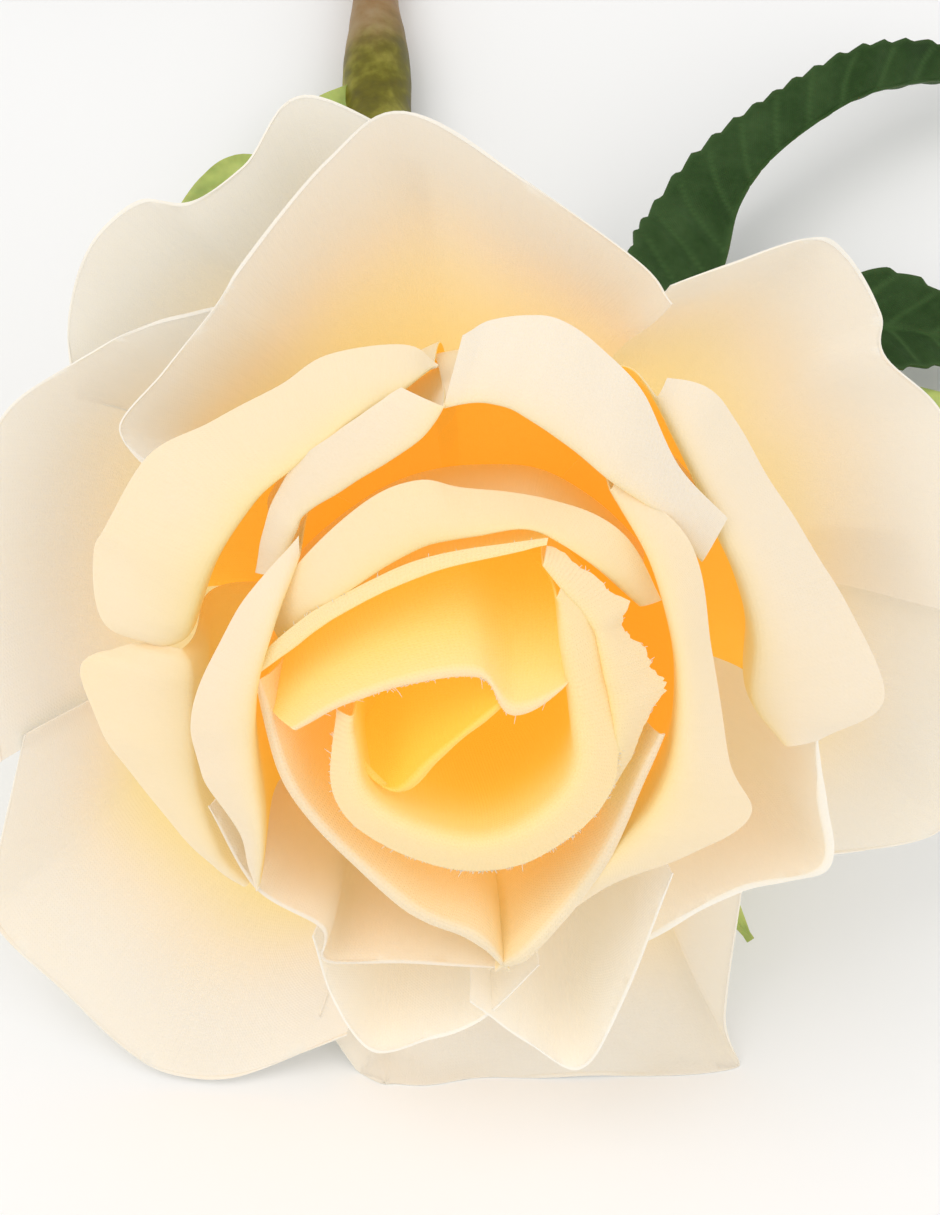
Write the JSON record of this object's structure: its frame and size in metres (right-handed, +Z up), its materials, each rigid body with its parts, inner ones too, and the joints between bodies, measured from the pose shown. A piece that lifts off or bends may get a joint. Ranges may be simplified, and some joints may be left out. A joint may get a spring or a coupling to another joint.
{
  "type": "artificial rose stem",
  "caption": "Artificial cloth rose lying on its side: layered cupped petals with rolled rims, sepals and toothed leaves on a slender stem with a thick green neck.",
  "frame": {"origin": "middle of the bounding box, on the table the rose lies on", "axes": "+Y along the stem from the bloom to the cut end; +Z up; the bloom looks along -Y and upwards; +X to the right seen from the bloom's front"},
  "size_m": [0.2406, 0.2998, 0.0966],
  "materials": {
    "petal_heart": "matte woven cloth, deep yellow-orange inside and pale at the edge",
    "petal_middle": "matte cloth, peach towards the heart and ivory at the edge",
    "petal_outer": "matte ivory cloth",
    "leaf_green": "printed cloth with a slight sheen and pressed veins",
    "sepal_green": "moulded, matte light green",
    "stem_bark": "moulded, olive brown with green patches, slight sheen",
    "wire": "drawn wire, cut end"
  },
  "bodies": {
    "root": {"flower_core": "sepal_green", "calyx": "sepal_green", "stem": "stem_bark", "stem_wire": "wire", "petal_heart_fold": "petal_heart", "petal_heart_cup": "petal_heart", "petal_heart_hood": "petal_heart", "petal_first_top": "petal_heart", "petal_first_right": "petal_heart", "petal_first_left": "petal_heart", "petal_first_low": "petal_heart", "petal_second_top": "petal_middle", "petal_second_left": "petal_middle", "petal_second_right": "petal_middle", "petal_second_low": "petal_middle", "petal_third_top": "petal_middle", "petal_third_crest": "petal_middle", "petal_third_left": "petal_middle", "petal_third_side": "petal_middle", "petal_third_right": "petal_middle", "petal_third_low": "petal_middle", "petal_third_front": "petal_middle", "petal_third_corner": "petal_middle", "petal_outer_top": "petal_outer", "petal_outer_right": "petal_outer", "petal_outer_left": "petal_outer", "petal_outer_corner": "petal_outer", "petal_outer_low": "petal_outer", "petal_outer_side": "petal_outer", "petal_outer_back": "petal_outer", "sepal_right": "sepal_green", "sepal_top": "sepal_green", "sepal_left_top": "sepal_green", "sepal_left": "sepal_green", "sepal_low": "sepal_green", "stipule": "sepal_green", "leaf_near_stalk": "stem_bark", "leaf_near_side": "leaf_green", "leaf_near_back": "leaf_green", "leaf_near_tip": "leaf_green", "leaf_far_stalk": "stem_bark", "leaf_far_side": "leaf_green", "leaf_far_back": "leaf_green", "leaf_far_tip": "leaf_green"}
  },
  "joints": []
}
